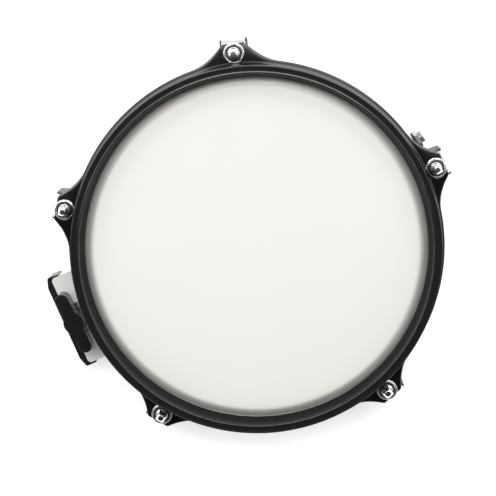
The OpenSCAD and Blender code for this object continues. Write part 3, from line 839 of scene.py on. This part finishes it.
plate_x = box_x + 5
strap = fillet([(152, -37.5), (plate_x - 2.5, -37.5), (plate_x, -30), (plate_x, 30), (plate_x - 2.5, 37.5),
                (152, 37.5), (152, half_box), (156, half_box), (box_x, 34), (box_x, -34), (156, -half_box),
                (152, -half_box)], [0.6, 1.5, 6, 6, 1.5, 0.6, 0.4, 1, 1, 1, 1, 0.4], 5)
plate = pushed("clamp_strap", strap, box_low, box_top)
cutters = [rod_shape("rod_hole", 6.2, 10, (box_x - 2, 0, 14.5), "X", 96)]
for py in screw_ys:
    sink = turned("sink", [(0, 0), (1.6, 0), (1.6, 5.4), (3.2, 7.0), (3.2, 9.5), (0, 9.5)], 48)
    cutters.append(facing_out(sink, (box_x - 2, py, sink_z)))
fit(moved(cut_and_ease(plate, cutters, edge=0.45), clamp_a), "satin_black", "pad", "clamp_plate")
print("clamp box and plate done")

# %% Collar, wing screw and knob
collar_top = 32.5
collar_flat = pushed("collar_flat", fillet(rectangle(141, 156.5, 12.5), 2.2, 5), box_top, box_top + 2)
holes = [rod_shape("hole", 1.4, 6, (collar_screw_x, py, box_top - 2)) for py in collar_screw_ys]
cut_and_ease(collar_flat, [rod_shape("screw_way", 3.0, 9, (wing_x, 0, box_top - 3)), *holes], edge=0.3)
boss_line = fillet([(3.0, box_top + 1.9), (5.9, box_top + 1.9), (5.2, box_top + 2.8), (5.2, collar_top),
                    (3.0, collar_top)], [0, 0.1, 0.5, 0.5, 0.3], 4)
boss = moved(turned("collar_boss", boss_line, 64), 0, (wing_x, 0, 0))
spigot_line = fillet([(3.0, box_top - 2), (4, box_top - 2), (4, box_top + 0.1), (3.0, box_top + 0.1)],
                     [0.2, 0.3, 0, 0], 3)
spigot = moved(turned("collar_spigot", spigot_line, 64), 0, (wing_x, 0, 0))
collar = moved(joined("screw_collar_plate", [collar_flat, boss, spigot]), clamp_a)
fit(collar, "raw_steel", "pad", "screw_collar")

wing_low, wing_high, rest_turn = 33.5, 48.5, 3.2
grip = [(4.8 * math.cos(math.radians(a)), 19.7 + 4.8 * math.sin(math.radians(a))) for a in range(0, 181, 12)]
waist = [(-4.8, 7.6), (-5.7, 5.9), (-7.1, 3.3), (-7.8, 0), (-7.1, -3.3), (-5.7, -5.9), (-4.8, -7.6)]
knob_plan = grip + waist + [(-px, -py) for px, py in grip] + [(-px, -py) for px, py in waist]
knob = pushed("wing_knob_moulding", knob_plan, wing_low, wing_high)
knob = cut_and_ease(knob, [rod_shape("screw_hole", 2.95, 9, (0, 0, wing_low - 1))], edge=1.1, steps=4)
knob.name = "wing_knob_grip"
moved(knob, rest_turn)
fit(moved(knob, clamp_a, (wing_x, 0, 0)), "knob_black", "wing", "wing_knob")

empty = add_object("wing_thread", bpy.data.meshes.new("thread"))
wing_thread = thread.draw(empty, "raw_steel", Pitch=1.0, Core=2.62, Ridge=0.28, Length=14.0, Low=23.2)
stem = turned("stem", fillet([(0, 22.65), (2.65, 22.65), (2.65, 41.4), (0, 41.4)], [0, 0.5, 0.2, 0], 4), 48)
stem = moved(joined("wing_stem", [stem, wing_thread]), 0, (wing_x, 0, 0))
fit(moved(stem, clamp_a), "raw_steel", "wing", "wing_screw")
print("knob:", len(knob.data.polygons), "faces")

# %% [markdown]
# ## Screws
# A pan head is turned and a six-sided hole is cut for the key. The same screw holds the base plate, the
# clamp plate and the collar in different sizes, so one function makes it and a rule sets it out.

# %% Screws that show
def pan_screw(name, head_r, head_h, shank_r, length):
    side = [(0, -length), (shank_r, -length), (shank_r, 0), (head_r, 0), (head_r, head_h * 0.6),
            (head_r * 0.75, head_h), (0, head_h)]
    screw = turned(name, fillet(side, [0, 0.3, 0.1, 0.2, 0.5, 0.4, 0], 4), 40)
    key_hole = pushed("key_hole", hexagon(head_r * 0.46), head_h * 0.45, head_h + 2)
    return cut_and_ease(screw, [key_hole], edge=0.08, steps=2)


under = Matrix.Translation((0, 0, 6.3 * MM)) @ Matrix.Rotation(math.pi, 4, "X")
ring_screws = pan_screw("ring_screws", 3.4, 2, 1.55, 12)
ring_screws.data.transform(under)
around.draw(moved(ring_screws, 0, (113.5, 0, 0)), "zinc_steel", Count=5, First=36.0)
post_screws = pan_screw("post_screws", 3.4, 2, 1.55, 12)
post_screws.data.transform(under)
around.draw(moved(post_screws, 0, (75, 0, 0)), "zinc_steel", Count=2, First=0.0, Step=180.0)
fit(joined("base_pan_screws", [ring_screws, post_screws]), "zinc_steel", "pad", "base_screws")

pair = [moved(pan_screw("collar_screw", 2.6, 2.4, 1.15, 6.5), 0, (collar_screw_x, py, box_top + 2))
        for py in collar_screw_ys]
fit(moved(joined("collar_pan_screws", pair), clamp_a), "zinc_steel", "pad", "screw_collar_screws")
pair, sunk_line = [], [(0, -10.4), (1.45, -10.4), (1.45, 0), (3.1, 1.6), (0, 1.6)]
for py in screw_ys:
    sunk = turned("sunk_screw", fillet(sunk_line, [0, 0.3, 0.1, 0.15, 0], 3), 40)
    cut_and_ease(sunk, [pushed("key_hole", hexagon(1.2), 0.6, 3)], edge=0.06, steps=2)
    pair.append(facing_out(sunk, (plate_x - 1.6, py, sink_z)))
fit(moved(joined("plate_sunk_screws", pair), clamp_a), "zinc_steel", "pad", "clamp_plate_screws")
print("screws done")

# %% [markdown]
# ## Base mat
# The underside is what keeps the pad still on a table. The mat is a rubber disc with a raised border and
# a field of small round feet. The feet are set out on a staggered grid by a rule, and each is a plain
# short stud of few faces because there are hundreds.

# %% Mat and its feet
mat_line = [(0, 0.7), (98, 0.7), (98.6, 0), (103.5, 0), (105, 1.5), (105, 3.98), (0, 3.98)]
mat = turned("mat_disc", fillet(mat_line, [0, 0.3, 0.3, 0.8, 0.8, 0.2, 0], 4), 192)
feet = Rule("mat_feet", Spacing=6.5, Field=95.0, Foot=1.9, Tall=0.75)
side = feet.size("Field") * 2 * MM
across = feet.size("Field") * 2 / feet.size("Spacing")
grid = feet.node("GeometryNodeMeshGrid", {},
                 {"Size X": side, "Size Y": side, "Vertices X": across, "Vertices Y": across})
row_y = feet.parts(feet.node("GeometryNodeInputPosition"))[1]
row = (row_y / (feet.size("Spacing") * MM)).maths("ROUND") % 2
shift = feet.node("ShaderNodeCombineXYZ", {}, {0: row * feet.size("Spacing") * (0.5 * MM)})
staggered = feet.node("GeometryNodeSetPosition", {}, {"Geometry": grid, "Offset": shift})
qx, qy = feet.parts(feet.node("GeometryNodeInputPosition"))[:2]
outside = feet.node("FunctionNodeCompare", {"data_type": "FLOAT", "operation": "GREATER_THAN"},
                    {0: (qx * qx + qy * qy).maths("SQRT"), 1: feet.size("Field") * MM})
inside = feet.node("GeometryNodeDeleteGeometry", {"domain": "POINT"}, {0: staggered, 1: outside})
foot = feet.node("GeometryNodeMeshCone", {}, {
    "Vertices": 10, "Radius Top": feet.size("Foot") * MM, "Radius Bottom": feet.size("Foot") * (0.72 * MM),
    "Depth": feet.size("Tall") * MM})
feet.end(feet.node("GeometryNodeInstanceOnPoints", {}, {"Points": inside, "Instance": foot}))
feet_piece = feet.draw(add_object("mat_feet", bpy.data.meshes.new("mat_feet")), "mat_rubber")
foot_count = len(feet_piece.data.polygons)
fit(joined("ribbed_mat", [mat, feet_piece]), "mat_rubber", "pad", "base_mat")
print("feet have", foot_count, "faces in all")

# %% [markdown]
# ## Sensor socket
# A small chromed box on the shell carries a panel socket: a black bezel, a threaded neck and its nut.
# The neck's thread is turned as rings, which look the same as a spiral at this size.

# %% Socket
jack_a, jack_z, jack_x = 27.0, 36.0, 142.0
jack_plan = fillet(rectangle(122, jack_x, 8), [0, 2.2, 2.2, 0], 5)
jack_side = fillet([(122, jack_z - 11), (139, jack_z - 11), (jack_x, jack_z - 8), (jack_x, jack_z + 8),
                    (139, jack_z + 11), (122, jack_z + 11)], [0, 2, 2, 2, 2, 0], 4)
profile_bar = side_cut("jack_side", jack_side, 30)
jack_box = pushed("socket_box", jack_plan, 10, 60)
neck_way = rod_shape("neck_way", 5.9, 25, (119, 0, jack_z), "X")
cut_and_ease(jack_box, [profile_bar, shell_cutter(124.1), neck_way], edge=0.5, keep=profile_bar)
fit(moved(jack_box, jack_a), "chrome", "pad", "jack_box")

bezel = pushed("socket_bezel", fillet(rectangle(jack_z - 7.6, jack_z + 7.6, 6.2), 2.4, 5), 0, 1.8)
to_front = Matrix(((0, 0, 1, jack_x * MM), (0, 1, 0, 0), (1, 0, 0, 0), (0, 0, 0, 1)))
neck_hole = turned("neck_hole", [(0, -2), (4.8, -2), (4.8, 5), (0, 5)], 48)
neck_hole.data.transform(Matrix.Translation((jack_z * MM, 0, 0)))
cut_and_ease(bezel, [neck_hole], edge=0.45)
bezel.data.transform(to_front)
bezel.data.flip_normals()
fit(moved(bezel, jack_a), "black_plastic", "pad", "jack_bezel")

neck = [(3.25, 6), (5.0, 6), (5.8, 6.8), (5.8, 29.9), (4.7, 29.9)]
for k in range(9):
    neck += [(4.7, 32.2 + 0.55 * k), (4.45, 32.47 + 0.55 * k)]
neck += [(4.7, 37.2), (4.4, 37.5), (3.55, 37.5), (3.25, 37.2)]
barrel = turned("barrel", neck, 64)
shoulder_line = [(5.7, 4.4), (8.5, 4.4), (8.5, 6.4), (5.7, 6.4)]
shoulder = turned("shoulder", fillet(shoulder_line, [0, 0.3, 0.3, 0], 3), 64)
plug_end = turned("plug_end", fillet([(0, 0), (5.8, 0), (5.8, 7), (0, 7)], [0, 0.6, 0, 0], 3), 64)
jack = facing_out(joined("socket_barrel", [barrel, shoulder, plug_end]), (112, 0, jack_z))
fit(moved(jack, jack_a), "zinc_steel", "pad", "output_jack")

nut = pushed("socket_nut", hexagon(6.9, 30), 0, 2.6)
corner_cut = turned("corner_cut", [(0, -1), (5.9, -0.2), (6.95, 0.5), (6.95, 2.1), (5.9, 2.8), (0, 3.4)], 64)
neck_bore = rod_shape("neck_bore", 4.75, 6, (0, 0, -1))
cut_and_ease(nut, [corner_cut, neck_bore], edge=0.12, steps=2, keep=corner_cut)
facing_out(nut, (jack_x + 1.8, 0, jack_z))
fit(moved(nut, jack_a), "zinc_steel", "pad", "jack_nut")
print("socket done")

# %% [markdown]
# ## Foam inside
# The sensor sits on a foam pad and a foam cone passes the head's movement down to it. Both are soft, so
# they are shaped as slightly bulging forms.

# %% Foam pad and cone
foam_low, foam_high = (round(v.z / MM, 3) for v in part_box("sensor_foam"))
bulge = [(15 - 0.5 * abs(t) ** 2.5, foam_low + (foam_high - foam_low) * (t + 1) / 2)
         for t in [k / 5 for k in range(-5, 6)]]
pad_foam = turned("foam_rest", [(0, foam_low), *bulge, (0, foam_high)], 96, 50)
fit(pad_foam, "sensor_foam", "pad", "sensor_foam")
cone_low, cone_high = (round(v.z / MM, 3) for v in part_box("trigger_cone"))
slope = [(9 - 5 * t + 0.5 * math.sin(math.pi * t), cone_low + (cone_high - cone_low) * t)
         for t in [k / 8 for k in range(9)]]
cone = turned("foam_cone", [(0, cone_low), *slope, (0, cone_high)], 96, 50)
fit(cone, "sensor_foam", "pad", "trigger_cone")
print("foam done")

# %% [markdown]
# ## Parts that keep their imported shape
# The shell, base plate, rings, gaskets, nuts and the sensor's hardware are already the right shape.
# They only need their finishes, which come from the slot that the record names for each of them.

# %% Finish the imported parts
slot_of = {part["node"]: part["material_slot"] for part in record["subparts"]}
for node_name, packed in nodes.items():
    for material_slot in packed.material_slots:
        material_slot.material = finishes[slot_of[node_name]].material
print("packed parts finished:", len(nodes))
